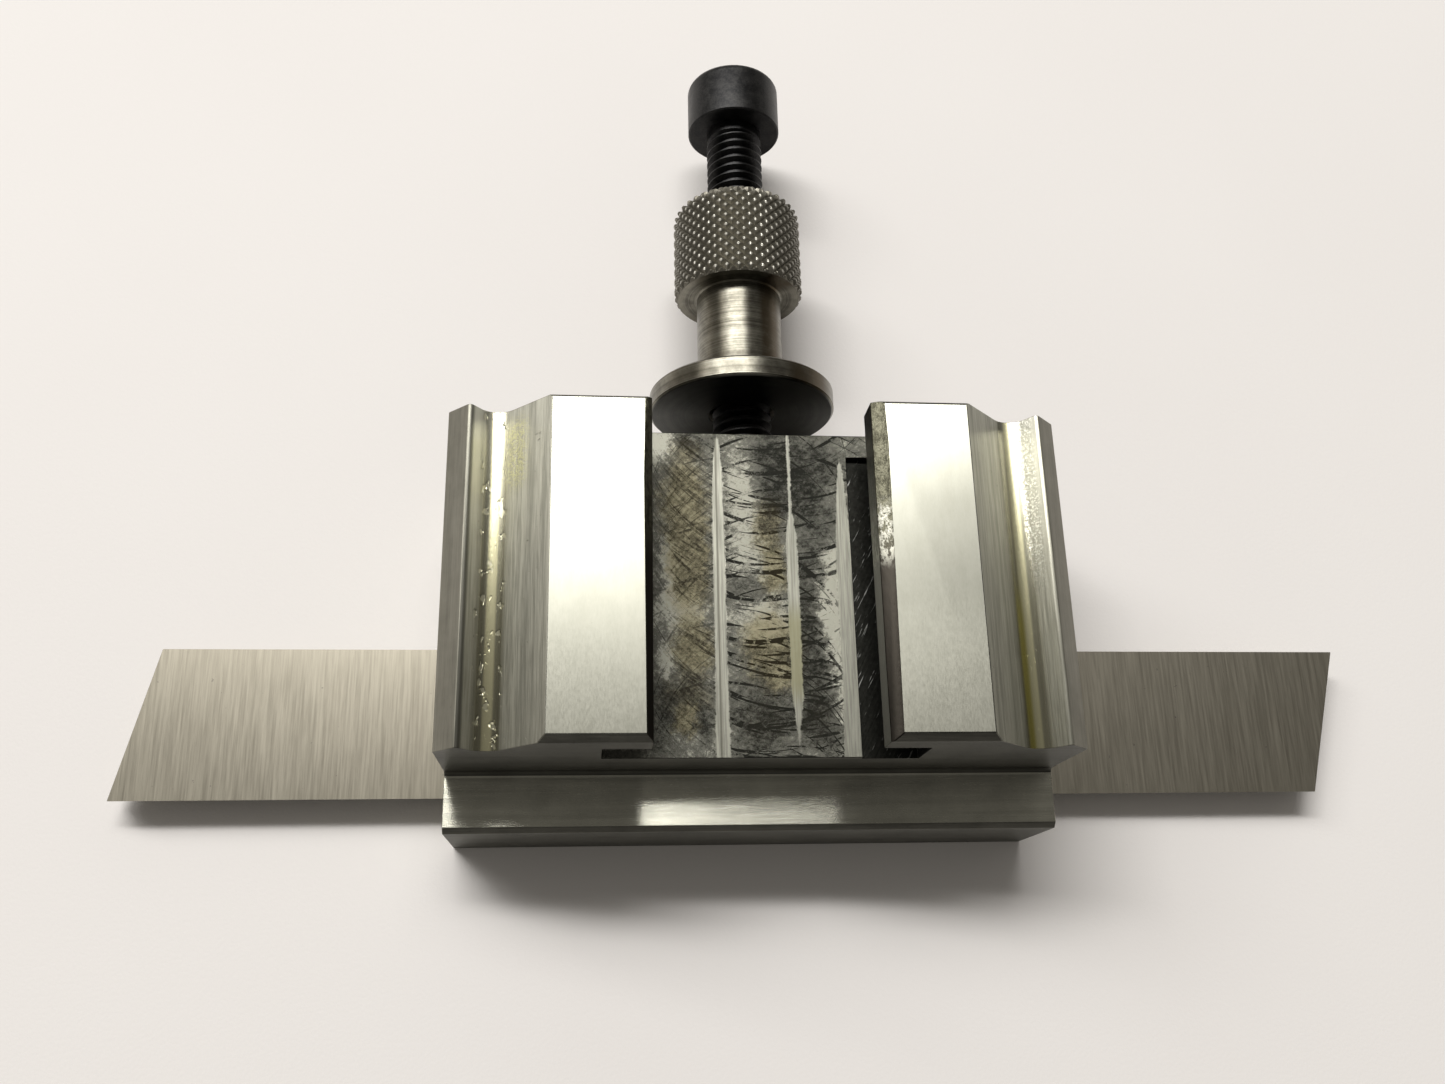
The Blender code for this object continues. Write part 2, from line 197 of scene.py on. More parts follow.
# Light: a long lamp above and behind, a wide dim panel round it, and a room darker at the front.
# The lamps' distances and sizes are in metres, their powers in watts.
LAMP_AIM = Vector((0.0, -8.0, 10.0)) * MM
LAMPS = (
    {"name": "tube", "aim": (-0.23, 0.44, 0.87), "away": 1.1, "size": (0.72, 0.10), "power": 5.4},
    {"name": "panel", "aim": (-0.31, 0.50, 0.81), "away": 1.3, "size": (1.5, 0.36), "power": 10.2},
)
LAMP_COLOUR = (1.0, 0.99, 0.965)
ROOM_DIM = (0.095, 0.09, 0.082)
ROOM_LIT = (0.25, 0.24, 0.22)
ROOM_LOW = (0.15, 0.146, 0.135)
ROOM_LEAN = (-0.5, 0.8, 0.25)


# ---------------------------------------------------------------- shader graphs


class Graph:
    """Builds one material's nodes. Sockets and plain numbers mix freely as inputs."""

    def __init__(self, name):
        self.material = bpy.data.materials.new(name)
        self.material.use_nodes = True
        self.tree = self.material.node_tree
        self.shader = self.tree.nodes["Principled BSDF"]
        place = self.tree.nodes.new("ShaderNodeTexCoord").outputs["Object"]
        self.place = self.vector("SCALE", place, scale=1 / MM)
        split = self.tree.nodes.new("ShaderNodeSeparateXYZ")
        self.feed(split.inputs[0], self.place)
        self.x, self.y = split.outputs[:2]

    def feed(self, socket, value):
        if isinstance(value, bpy.types.NodeSocket):
            self.tree.links.new(value, socket)
        elif socket.type == "RGBA" and len(value) == 3:
            socket.default_value = (*value, 1.0)
        else:
            socket.default_value = value

    def math(self, operation, *values, clamp=False):
        node = self.tree.nodes.new("ShaderNodeMath")
        node.operation = operation
        node.use_clamp = clamp
        for socket, value in zip(node.inputs, values):
            self.feed(socket, value)
        return node.outputs[0]

    def vector(self, operation, *values, scale=None):
        node = self.tree.nodes.new("ShaderNodeVectorMath")
        node.operation = operation
        for socket, value in zip(node.inputs, values):
            self.feed(socket, value)
        if scale is not None:
            self.feed(node.inputs["Scale"], scale)
        return node.outputs["Value" if operation in ("LENGTH", "DISTANCE") else "Vector"]

    def stretch(self, factors, offset=(0.0, 0.0, 0.0)):
        """The position in millimetres, multiplied along each axis: small factors make long grain."""
        return self.vector("MULTIPLY_ADD", self.place, factors, offset)

    def join(self, x, y, z):
        """A vector from three numbers."""
        node = self.tree.nodes.new("ShaderNodeCombineXYZ")
        for socket, value in zip(node.inputs, (x, y, z)):
            self.feed(socket, value)
        return node.outputs[0]

    def noise(self, vector, scale=1.0, detail=3.0, rough=0.5):
        node = self.tree.nodes.new("ShaderNodeTexNoise")
        self.feed(node.inputs["Vector"], vector)
        node.inputs["Scale"].default_value = scale
        node.inputs["Detail"].default_value = detail
        node.inputs["Roughness"].default_value = rough
        return node.outputs[0]

    def span(self, value, low, high, to_low=0.0, to_high=1.0):
        """Smooth step of value from low to high."""
        node = self.tree.nodes.new("ShaderNodeMapRange")
        node.interpolation_type = "SMOOTHSTEP"
        for name, number in (("Value", value), ("From Min", low), ("From Max", high)):
            self.feed(node.inputs[name], number)
        node.inputs["To Min"].default_value = to_low
        node.inputs["To Max"].default_value = to_high
        return node.outputs[0]

    def mix(self, factor, first, second):
        node = self.tree.nodes.new("ShaderNodeMix")
        node.data_type = "RGBA"
        self.feed(node.inputs["Factor"], factor)
        self.feed(node.inputs[6], first)
        self.feed(node.inputs[7], second)
        return node.outputs[2]

    def blend(self, factor, first, second):
        """A number between first and second."""
        node = self.tree.nodes.new("ShaderNodeMix")
        node.data_type = "FLOAT"
        self.feed(node.inputs[0], factor)
        self.feed(node.inputs[2], first)
        self.feed(node.inputs[3], second)
        return node.outputs[0]

    def bump(self, height, depth):
        """Bump whose height of 1 stands depth millimetres proud."""
        node = self.tree.nodes.new("ShaderNodeBump")
        node.inputs["Strength"].default_value = 1.0
        node.inputs["Distance"].default_value = depth * MM
        self.feed(node.inputs["Height"], height)
        return node.outputs[0]

    def turn(self, degrees, factors):
        """The position turned about Z and then stretched, for grain or scratches at an angle."""
        node = self.tree.nodes.new("ShaderNodeMapping")
        node.vector_type = "TEXTURE"
        self.feed(node.inputs["Vector"], self.place)
        node.inputs["Rotation"].default_value = (0.0, 0.0, math.radians(degrees))
        return self.vector("MULTIPLY", node.outputs[0], factors)

    def steps(self, value, low, high, stops):
        """A piecewise curve: value from low to high picks a level among (place, level) stops."""
        node = self.tree.nodes.new("ShaderNodeValToRGB")
        share = self.math("DIVIDE", self.math("SUBTRACT", value, low), high - low, clamp=True)
        self.feed(node.inputs[0], share)
        ramp = node.color_ramp
        while len(ramp.elements) < len(stops):
            ramp.elements.new(0.5)
        for element, (place, _) in zip(ramp.elements, stops):
            element.position = place
        for element, (_, level) in zip(ramp.elements, stops):
            element.color = (level, level, level, 1.0)
        split = self.tree.nodes.new("ShaderNodeSeparateColor")
        self.feed(split.inputs[0], node.outputs[0])
        return split.outputs[0]

    def window(self, value, low, high, soft):
        """1 between low and high, with soft edges."""
        rise = self.span(value, low - soft, low + soft)
        fall = self.span(value, high - soft, high + soft)
        return self.math("SUBTRACT", rise, fall, clamp=True)

    def stretch_gloss(self, amount, direction):
        """Spreads the highlight along a direction in the row frame, across the grinding lines."""
        self.shader.inputs["Anisotropic"].default_value = amount
        node = self.tree.nodes.new("ShaderNodeVectorTransform")
        node.vector_type = "VECTOR"
        node.convert_from = "OBJECT"
        node.convert_to = "WORLD"
        self.feed(node.inputs[0], direction)
        self.feed(self.shader.inputs["Tangent"], self.vector("NORMALIZE", node.outputs[0]))

    def scale(self, value, factor):
        return self.math("MULTIPLY", value, factor)

    def finish(self, colour, roughness, normal, metallic=1.0):
        self.feed(self.shader.inputs["Base Color"], colour)
        self.feed(self.shader.inputs["Roughness"], roughness)
        self.feed(self.shader.inputs["Normal"], normal)
        self.feed(self.shader.inputs["Metallic"], metallic)
        return self.material


def weigh(g, parts):
    """Sums (value, weight) pairs."""
    total = 0.0
    for value, weight in parts:
        total = g.math("MULTIPLY_ADD", value, weight, total)
    return total


def ground_steel(name, grain, across, tones, rough, stretch=0.75, lines=0.004, pitting=0.5, painted_shade=0.0):
    """Ground steel: grain has a small factor along the grinding lines, across points over them.

    The last argument sets how much darker the right-hand rail is painted in the middle of its length:
    painted shade where its highlight fades.
    """
    g = Graph(name)
    fine = g.noise(g.stretch(grain), 9.0, 5.0, 0.65)
    wide = g.noise(g.stretch(grain), 1.3, 3.0, 0.6)
    cloud = g.noise(g.place, 0.4, 3.0, 0.55)
    pits = g.span(g.noise(g.place, 3.1, 2.0, 0.7), 0.71, 0.76)
    tone = weigh(g, ((fine, 0.4), (wide, 0.35), (cloud, 0.25), (pits, -pitting)))
    colour = g.mix(g.span(tone, 0.32, 0.68), *tones)
    # Painted shade on the right-hand rail's middle, where its highlight fades.
    worn = g.math("MULTIPLY", g.span(g.x, 5.0, 8.0, 0.0, painted_shade), g.window(g.y, -18.0, -3.5, 5.0))
    colour = g.mix(worn, colour, (0.0, 0.0, 0.0))
    roughness = g.span(fine, 0.2, 0.8, rough - 0.04, rough + 0.05)
    height = weigh(g, ((fine, 1.0), (pits, -3.0 * pitting)))
    g.stretch_gloss(stretch, across)
    return g.finish(colour, roughness, g.bump(height, lines))


def groove_stains(g, colour, wide, from_bottom):
    """A groove's standing tones: outer flanks painted lit as a painted highlight, a bottom with its stain
    and a painted highlight, painted shade along its borders, dark crest.
    """
    # Painted highlight: the outer flanks lighter, most of all towards the top end.
    outer = g.span(g.math("ABSOLUTE", g.x), V_CENTRE + 0.3, V_CENTRE + 1.0)
    outer = g.math("MULTIPLY", outer, g.span(g.y, -14.0, 0.0, 0.1, 0.7))
    colour = g.mix(outer, colour, GROOVE_LIT)
    stain = g.math("MULTIPLY", g.span(g.y, 4.0, -16.0, 0.35, 1.0), g.span(wide, 0.3, 0.6, 0.5, 1.0))
    stain = g.math("MULTIPLY", g.span(from_bottom, 1.25, 0.75), stain)
    colour = g.mix(g.scale(stain, 0.45), colour, GROOVE_STAIN)
    # Painted highlight along the groove's bottom, in a pale yellow that is partly its stain.
    colour = g.mix(g.span(from_bottom, 0.55, 0.35), colour, GROOVE_BOTTOM)
    shaded = g.math("MULTIPLY", g.window(from_bottom, 0.42, 1.3, 0.2), g.span(g.y, 1.5, -5.0, 0.2, 0.42))
    colour = g.mix(shaded, colour, GROOVE_SHADED)
    yellow = g.math("MULTIPLY", g.window(g.x, 22.9, 23.5, 0.2), g.span(g.y, -12.0, -18.0, 0.0, 0.85))
    colour = g.mix(yellow, colour, GROOVE_YELLOW)
    return g.mix(g.scale(g.span(g.x, -25.6, -25.85), 0.8), colour, GROOVE_CREST)


def groove_marks(g, colour, fine):
    """A groove's marks: brassy patch, a painted highlight in sparkling specks, pits and dents. Gives
    colour and height.
    """
    grit = g.noise(g.place, 4.2, 4.0, 0.75)
    worn = g.math("MULTIPLY", g.window(g.x, -22.8, -21.0, 0.6), g.window(g.y, -5.0, 1.2, 1.2))
    brassy = g.math("MULTIPLY", g.scale(worn, 0.7), g.span(grit, 0.42, 0.58))
    colour = g.mix(brassy, colour, GROOVE_BRASSY)
    # Painted highlight: near-white specks along the right outer flank, where it reflects the lamp.
    band = g.math("MULTIPLY", g.window(g.x, 24.5, 25.6, 0.25), g.span(g.y, -16.0, -4.0))
    sparkle = g.math("MULTIPLY", band, g.span(grit, 0.5, 0.58))
    colour = g.mix(sparkle, colour, GROOVE_SPARKLE)
    pits = g.span(g.noise(g.place, 1.9, 3.0, 0.75), 0.66, 0.72)
    crowd = g.span(g.noise(g.stretch((1.0, 0.35, 1.0)), 0.35, 2.0, 0.5), 0.45, 0.62)
    pits = g.math("MULTIPLY", pits, crowd)
    colour = g.mix(g.scale(pits, 0.6), colour, GROOVE_PIT)
    dents = g.span(g.noise(g.stretch((1.0, 0.6, 1.0)), 1.5, 2.0, 0.5), 0.60, 0.64)
    dents = g.math("MULTIPLY", dents, g.window(g.x, -25.0, -22.7, 0.2))
    colour = g.mix(g.scale(dents, 0.7), colour, GROOVE_DENT)
    gritty = g.math("MULTIPLY", g.math("ADD", worn, band), grit)
    return colour, weigh(g, ((fine, 1.0), (dents, -9.0), (pits, -4.0), (gritty, 5.0)))


def flank_steel():
    """The V-grooves: ground along their length, stained yellow in the bottom, a little pitted."""
    g = Graph("flank_steel")
    grain = g.stretch((1.0, 0.03, 1.0))
    fine = g.noise(grain, 9.0, 5.0, 0.65)
    wide = g.noise(grain, 1.6, 3.0, 0.6)
    tone = weigh(g, ((fine, 0.5), (wide, 0.5)))
    from_bottom = g.math("ABSOLUTE", g.math("SUBTRACT", g.math("ABSOLUTE", g.x), V_CENTRE))
    colour = g.mix(g.span(tone, 0.35, 0.65), *GROOVE_TONES)
    colour = groove_stains(g, colour, wide, from_bottom)
    colour, height = groove_marks(g, colour, fine)
    roughness = g.blend(g.span(from_bottom, 1.2, 0.9), g.span(fine, 0.2, 0.8, 0.36, 0.44), 0.24)
    g.stretch_gloss(0.85, (1.0, 0.0, 0.0))
    return g.finish(colour, roughness, g.bump(height, 0.006))


# Burnished streaks along the slot: middle, and half width at places from the top end to the rail end.
STREAKS = (
    (-3.45, ((0.0, 0.0), (0.03, 0.22), (0.12, 0.5), (0.3, 0.62), (0.7, 0.6), (1.0, 0.7))),
    (3.35, ((0.0, 0.2), (0.26, 0.2), (0.33, 0.55), (0.6, 0.6), (0.82, 0.55), (0.98, 0.0))),
    (8.25, ((0.07, 0.0), (0.1, 0.25), (0.25, 0.6), (0.45, 0.85), (0.8, 0.8), (1.0, 1.0))),
)
# Wear on the slot floor: middle, half size, how much lighter or darker, how brown.
WEAR = (
    ((-9.2, 1.6), (1.4, 2.0), 0.9, 0.0),
    ((-5.9, 1.2), (2.2, 1.4), -0.35, 0.3),
    ((-6.6, -4.5), (2.6, 5.5), 0.08, 0.9),
    ((-6.2, -11.5), (2.2, 4.2), 0.0, 1.0),
    ((-8.2, -11.5), (0.6, 3.5), 0.6, 0.0),
    ((-7.4, -15.2), (2.2, 1.7), 0.55, 0.1),
    ((-5.9, -18.6), (2.2, 2.6), 0.1, 1.0),
    ((-8.5, -19.9), (0.9, 2.0), 0.6, 0.0),
    ((-6.4, -22.8), (2.8, 1.7), -0.22, 0.6),
    ((-8.9, -25.0), (1.3, 3.6), -0.4, 0.1),
    ((-6.7, -25.3), (1.5, 1.5), 0.05, 0.9),
    ((-5.0, -25.4), (0.9, 1.6), -0.6, 0.0),
    ((-1.2, -3.9), (1.9, 4.4), 0.55, 0.0),
    ((-1.0, -9.8), (2.1, 2.8), 0.42, 0.1),
    ((-1.0, -12.8), (2.2, 1.5), -0.4, 0.1),
    ((0.4, -15.6), (3.0, 2.3), 0.45, 0.1),
    ((1.0, -18.6), (2.8, 3.6), 0.02, 1.0),
    ((2.0, -21.2), (1.3, 1.4), 0.3, 0.3),
    ((0.2, -25.3), (3.6, 3.8), -0.5, 0.3),
    ((1.9, -0.6), (2.4, 5.5), -0.6, 0.0),
    ((1.2, -6.8), (1.7, 3.6), -0.05, 0.7),
    ((1.7, -11.6), (1.4, 2.4), 0.12, 0.8),
    ((5.6, -3.0), (2.6, 7.5), -0.55, 0.0),
    ((4.6, -13.0), (1.5, 4.2), -0.45, 0.2),
    ((4.9, -20.5), (1.7, 5.5), -0.5, 0.2),
    ((5.6, -25.5), (2.0, 3.0), -0.35, 0.2),
    ((7.2, -15.0), (1.7, 5.0), 1.0, 0.0),
    ((8.2, -20.5), (1.3, 7.5), 0.8, 0.0),
    ((7.3, -4.0), (1.2, 1.6), 0.4, 0.1),
    ((7.2, -9.4), (1.2, 1.2), 0.4, 0.1),
)
# Cutter marks: middle across the slot, radius, and which way they bow.
CUTTER_ARCS = ((3.3, 14.0, 1), (0.5, 12.5, 1), (-3.0, 12.0, -1), (3.0, 13.0, -1))


def streak(g, middle, widths, ragged):
    """1 inside one burnished streak, with ragged edges."""
    half = g.steps(g.y, RAIL_TOP_END, RAIL_END, widths)
    away = g.math("ABSOLUTE", g.math("SUBTRACT", g.x, middle))
    inside = g.math("ADD", g.math("SUBTRACT", half, away), ragged)
    return g.span(inside, -0.03, 0.12)


def wear(g, place):
    """Sums the worn areas: one field for lighter and darker, one for how brown."""
    light = 0.0
    brown = 0.0
    for middle, half, lighter, browner in WEAR:
        away = g.vector("SUBTRACT", place, (middle[0], middle[1], SLOT_FLOOR))
        away = g.vector("MULTIPLY", away, (1.0 / half[0], 1.0 / half[1], 0.0))
        inside = g.math("SUBTRACT", 1.35, g.vector("LENGTH", away), clamp=True)
        light = g.math("MULTIPLY_ADD", inside, 1.25 * lighter, light)
        brown = g.math("MULTIPLY_ADD", inside, browner, brown)
    return light, brown


def arc_noise(g, middle, radius, bow, fineness):
    """Noise drawn out along circles, as a fly cutter leaves on a flat."""
    across = g.math("SUBTRACT", g.x, middle)
    rise = g.math("SUBTRACT", radius * radius, g.math("MULTIPLY", across, across))
    rise = g.math("SQRT", g.math("MAXIMUM", rise, 0.0))
    phase = g.math("MULTIPLY", g.math("MULTIPLY_ADD", rise, bow, g.y), fineness)
    return g.noise(g.join(phase, g.math("MULTIPLY", g.x, 0.09), middle), 1.0, 2.0, 0.6)


def largest(g, values):
    """The largest of some sockets, point by point."""
    found = values[0]
    for value in values[1:]:
        found = g.math("MAXIMUM", found, value)
    return found


def floor_texture(g, cloud):
    """Scratches both ways, cutter sweeps, grit and clouding, about zero on average."""
    hatch = g.noise(g.turn(52.0, (0.06, 1.0, 1.0)), 3.0, 3.0, 0.7)
    counter = g.noise(g.turn(-42.0, (0.06, 1.0, 1.0)), 3.0, 3.0, 0.7)
    sweep = arc_noise(g, *CUTTER_ARCS[0], 2.6)
    back_sweep = arc_noise(g, *CUTTER_ARCS[3], 2.2)
    grit = g.noise(g.place, 3.4, 6.0, 0.8)
    parts = ((hatch, 0.7), (counter, 0.6), (sweep, 0.6), (back_sweep, 0.5), (grit, 2.3), (cloud, 1.6))
    return g.math("SUBTRACT", weigh(g, parts), 3.15)


def warped_place(g):
    """The position, pushed about by noise, so that worn areas get ragged outlines."""
    across = g.noise(g.place, 1.1, 3.0, 0.7)
    along = g.noise(g.stretch((1.0, 1.0, 1.0), (9.0, 0.0, 0.0)), 1.1, 3.0, 0.7)
    push = g.vector("MULTIPLY", g.join(across, along, 0.5), (2.6, 3.2, 0.0))
    return g.vector("ADD", push, g.vector("SUBTRACT", g.place, (1.3, 1.6, 0.0)))


def cutter_marks(g, cloud):
    """Dark arcs, in groups, strongest right of the first streak."""
    marks = [g.span(arc_noise(g, *family, 1.7), 0.61, 0.635) for family in CUTTER_ARCS]
    marks = g.math("MULTIPLY", largest(g, marks), g.span(cloud, 0.42, 0.52))
    return g.math("MULTIPLY", marks, g.span(g.x, -4.6, -3.0, 0.3, 1.0))


def burnished_steel(g):
    """The streaks' own colour: fine lines, one yellowed stretch and one dark groove."""
    fine = g.noise(g.stretch((1.0, 0.03, 1.0)), 6.0, 4.0, 0.65)
    colour = g.mix(g.span(fine, 0.35, 0.65), *STREAK_TONES)
    tint = g.math("MULTIPLY", g.window(g.x, 2.4, 4.4, 0.2), g.window(g.y, -23.0, -15.0, 1.5))
    colour = g.mix(g.scale(tint, 0.75), colour, STREAK_YELLOW)
    return g.mix(g.scale(g.window(g.x, -3.68, -3.5, 0.06), 0.85), colour, STREAK_GROOVE)


def slot_floor_steel():
    """The slot's floor: worn bright and dark by turns, rusty in places, with cutter marks."""
    g = Graph("slot_floor_steel")
    cloud = g.noise(g.place, 0.9, 5.0, 0.7)
    rough = floor_texture(g, cloud)
    light, brown = wear(g, warped_place(g))
    level = g.math("ADD", g.math("ADD", rough, 0.36), light)
    level = weigh(g, ((level, 1.0), (cutter_marks(g, cloud), -1.5)))

    colour = g.mix(g.span(level, -0.75, 0.5), SLOT_DARK, SLOT_PLAIN)
    colour = g.mix(g.span(level, 0.35, 1.05), colour, SLOT_WORN)
    rust = g.mix(g.span(level, -0.2, 1.05), *RUST_TONES)
    colour = g.mix(g.scale(g.span(brown, 0.1, 0.8), 0.8), colour, rust)

    crisp = g.scale(rough, 0.16)
    bright = largest(g, [streak(g, middle, widths, crisp) for middle, widths in STREAKS])
    colour = g.mix(bright, colour, burnished_steel(g))
    height = g.math("MULTIPLY", rough, g.math("SUBTRACT", 1.0, g.scale(bright, 0.85)))
    roughness = g.blend(bright, g.span(level, 0.0, 1.0, 0.34, 0.5), 0.42)
    return g.finish(colour, roughness, g.bump(height, 0.035))


def wing_steel():
    """The slot's wings: near black, with fine slanting scratches."""
    g = Graph("wing_steel")
    scratch = g.noise(g.turn(62.0, (0.07, 1.0, 1.0)), 5.0, 3.0, 0.6)
    mark = g.math("MULTIPLY", g.span(scratch, 0.59, 0.67), g.span(g.noise(g.place, 0.8), 0.45, 0.6))
    near_black = g.mix(g.noise(g.place, 3.0), *WING_TONES)
    return g.finish(g.mix(mark, near_black, WING_SCRATCH), 0.42, g.bump(scratch, 0.02))


def filed_steel():
    """The slot's hand-filed edges: coarse and specked near the top end, browner lower down."""
    g = Graph("filed_steel")
    coarse = g.noise(g.stretch((1.0, 0.5, 1.0)), 2.6, 4.0, 0.7)
    low = g.span(g.y, -9.0, -13.0)
    speck = g.math("MULTIPLY", g.span(coarse, 0.45, 0.6), g.math("SUBTRACT", 1.0, low))
    colour = g.mix(speck, g.mix(low, FILED_TOP, FILED_LOW), FILED_SPECK)
    scuff = g.math("MULTIPLY", g.window(g.y, -12.6, -7.4, 1.0), g.span(coarse, 0.45, 0.55))
    colour = g.mix(g.math("MULTIPLY", scuff, g.span(g.x, 5.0, 6.0)), colour, FILED_SCUFF)
    depth = g.math("MULTIPLY", coarse, g.math("SUBTRACT", 1.0, g.scale(low, 0.8)))
    return g.finish(colour, 0.34, g.bump(depth, 0.075))


def blade_steel():
    """Blade: satin, ground across its length, so the lines run from edge to edge."""
    g = Graph("blade_steel")
    fine = g.noise(g.stretch((1.0, 0.03, 1.0)), 5.0, 5.0, 0.7)
    broad = g.noise(g.stretch((1.0, 0.10, 1.0)), 0.45, 3.0, 0.6)
    tone = weigh(g, ((fine, 0.75), (broad, 0.25)))
    colour = g.mix(g.span(tone, 0.3, 0.7), *BLADE_TONES)
    spots = g.span(g.noise(g.place, 1.7, 2.0, 0.6), 0.74, 0.78)
    colour = g.mix(g.scale(spots, 0.6), colour, BLADE_SPOT)
    g.stretch_gloss(0.3, (1.0, 0.0, 0.0))
    return g.finish(colour, g.span(fine, 0.2, 0.8, 0.33, 0.40), g.bump(fine, 0.004))


def from_screw_axis(g):
    """The vector from the height screw's axis to the point."""
    return g.vector("SUBTRACT", g.place, g.join(0.0, g.y, SCREW_AXIS))


def turned_steel():
    """The height nut: rings round the height screw's axis, painted shade in a brown tone down its sides
    and painted shade on its underside.
    """
    g = Graph("turned_steel")
    out = from_screw_axis(g)
    radius = g.vector("LENGTH", out)
    rings = g.noise(g.join(radius, g.y, 0.0), 7.0, 4.0, 0.7)
    bands = g.noise(g.join(radius, g.y, 7.0), 1.4, 2.0, 0.6)
    stain = g.noise(g.place, 0.9, 4.0, 0.65)
    tone = weigh(g, ((rings, 0.4), (bands, 0.3), (stain, 0.3)))
    colour = g.mix(g.span(tone, 0.38, 0.64), *TURNED_TONES)
    pits = g.span(g.noise(g.place, 2.4, 3.0, 0.7), 0.68, 0.74)
    colour = g.mix(g.scale(pits, 0.7), colour, TURNED_PIT)
    # Painted shade in a brown tone down both sides of the nut, stronger on the right.
    turn = g.math("DIVIDE", g.x, g.math("MAXIMUM", radius, 1.0))
    side_shade = weigh(g, ((g.window(turn, -0.82, -0.44, 0.07), 0.4), (g.window(turn, 0.40, 0.86, 0.08), 1.0)))
    side_shade = g.math("MULTIPLY", side_shade, g.span(stain, 0.3, 0.55, 0.65, 0.95))
    colour = g.mix(side_shade, colour, TURNED_SIDE_SHADE)
    # Painted shade on the flange's underside.
    under_shade = g.span(g.y, NUT_BASE + 0.16, NUT_BASE + 0.04, 0.0, 0.85)
    colour = g.mix(under_shade, colour, TURNED_UNDER_SHADE)
    g.stretch_gloss(0.6, g.vector("ADD", (0.0, 1.0, 0.0), g.vector("NORMALIZE", out)))
    return g.finish(colour, 0.32, g.bump(weigh(g, ((rings, 1.0), (pits, -1.5))), 0.007))


def knurl_steel():
    """The knurl: tips painted brighter than the grooves, partly wear and partly a painted highlight;
    grooves brown and dull, partly painted shade; painted shade down its sides.
    """
    g = Graph("knurl_steel")
    radius = g.vector("LENGTH", from_screw_axis(g))
    proud = g.span(radius, KNURL_RADIUS - 0.09, KNURL_RADIUS - 0.01)
    grit = g.noise(g.place, 6.0, 3.0, 0.7)
    # Tips painted light and grooves dark: partly wear, partly a painted highlight and painted shade.
    colour = g.mix(proud, *KNURL_TONES)
    colour = g.mix(g.span(grit, 0.35, 0.7, 0.0, 0.35), colour, KNURL_DULL)
    # Painted shade down the knurl's left and right sides.
    shade_aside = g.span(g.math("ABSOLUTE", g.math("ADD", g.x, 0.3)), 1.6, 4.2, 0.0, 0.4)
    colour = g.mix(shade_aside, colour, KNURL_SIDE_SHADE)
    return g.finish(colour, g.span(grit, 0.3, 0.7, 0.42, 0.52), g.bump(grit, 0.02))


def black_oxide():
    """Blackened screw steel: deep grey, faintly worn, with fine turning marks."""
    g = Graph("black_oxide")
    grit = g.noise(g.place, 5.0, 4.0, 0.7)
    cloud = g.noise(g.place, 0.9, 3.0, 0.6)
    tone = weigh(g, ((grit, 0.5), (cloud, 0.5)))
    colour = g.mix(g.span(tone, 0.35, 0.7), *OXIDE_TONES)
    return g.finish(colour, g.span(cloud, 0.3, 0.7, 0.36, 0.46), g.bump(grit, 0.01))


def clamp_steel():
    """Clamp bar: milled end to end, with feed marks across it and a dull brown tone."""
    g = Graph("clamp_steel")
    wave = g.math("SINE", weigh(g, ((g.x, 5.2), (g.noise(g.place, 0.7), 2.0))))
    fine = g.noise(g.stretch((1.0, 0.05, 1.0)), 6.0, 4.0, 0.6)
    cloud = g.noise(g.place, 0.4, 3.0, 0.6)
    tone = weigh(g, ((fine, 0.5), (cloud, 0.5)))
    colour = g.mix(g.span(tone, 0.35, 0.65), *CLAMP_TONES)
    height = weigh(g, ((wave, 0.25), (fine, 1.0)))
    return g.finish(colour, g.span(cloud, 0.3, 0.7, 0.34, 0.44), g.bump(height, 0.012))


def paper():
    """Pale warm paper under the holder, dimmer far away as a bench is."""
    g = Graph("paper")
    near = g.mix(g.noise(g.place, 0.02, 3.0, 0.5), *PAPER_TONES)
    away = g.span(g.vector("LENGTH", g.place), 110.0, 520.0)
    fibres = g.bump(g.noise(g.place, 3.0, 3.0, 0.6), 0.02)
    return g.finish(g.mix(away, near, PAPER_FAR), 0.9, fibres, metallic=0.0)


# ---------------------------------------------------------------- mesh helpers


def new_object(name, mesh):
    item = bpy.data.objects.new(name, mesh)
    bpy.context.scene.collection.objects.link(item)
    return item


def mesh_from(name, shape):
    mesh = bpy.data.meshes.new(name)
    shape.to_mesh(mesh)
    shape.free()
    return mesh


def shade(mesh, angle=SHARP):
    mesh.shade_smooth()
    mesh.set_sharp_from_angle(angle=angle)


def apply_modifiers(item):
    """Replaces the object's mesh by what its modifiers make of it."""
    bpy.context.view_layer.update()
    seen = item.evaluated_get(bpy.context.evaluated_depsgraph_get())
    made = bpy.data.meshes.new_from_object(seen)
    item.modifiers.clear()
    item.data = made


def subtract(item, other):
    """Cuts the other object out of the item and removes it."""
    modifier = item.modifiers.new("boolean", "BOOLEAN")
    modifier.operation = "DIFFERENCE"
    modifier.solver = "EXACT"
    modifier.object = other
    apply_modifiers(item)
    bpy.data.objects.remove(other, do_unlink=True)


def hull(name, points):
    """The closed convex solid round some points, in millimetres."""
    shape = bmesh.new()
    for point in points:
        shape.verts.new(Vector(point) * MM)
    bmesh.ops.convex_hull(shape, input=shape.verts)
    bmesh.ops.recalc_face_normals(shape, faces=shape.faces)
    return new_object(name, mesh_from(name, shape))


def hexagon(name, width, low, high, centre, along):
    """Cutter for a hexagon socket, width across its flats."""
    radius = width / 2 / math.cos(math.pi / 6)
    points = []
    for i in range(6):
        angle = math.radians(60 * i)
        for height in (low, high):
            points.append(on_axis(radius, height, angle, centre, along))
    return hull(name, points)


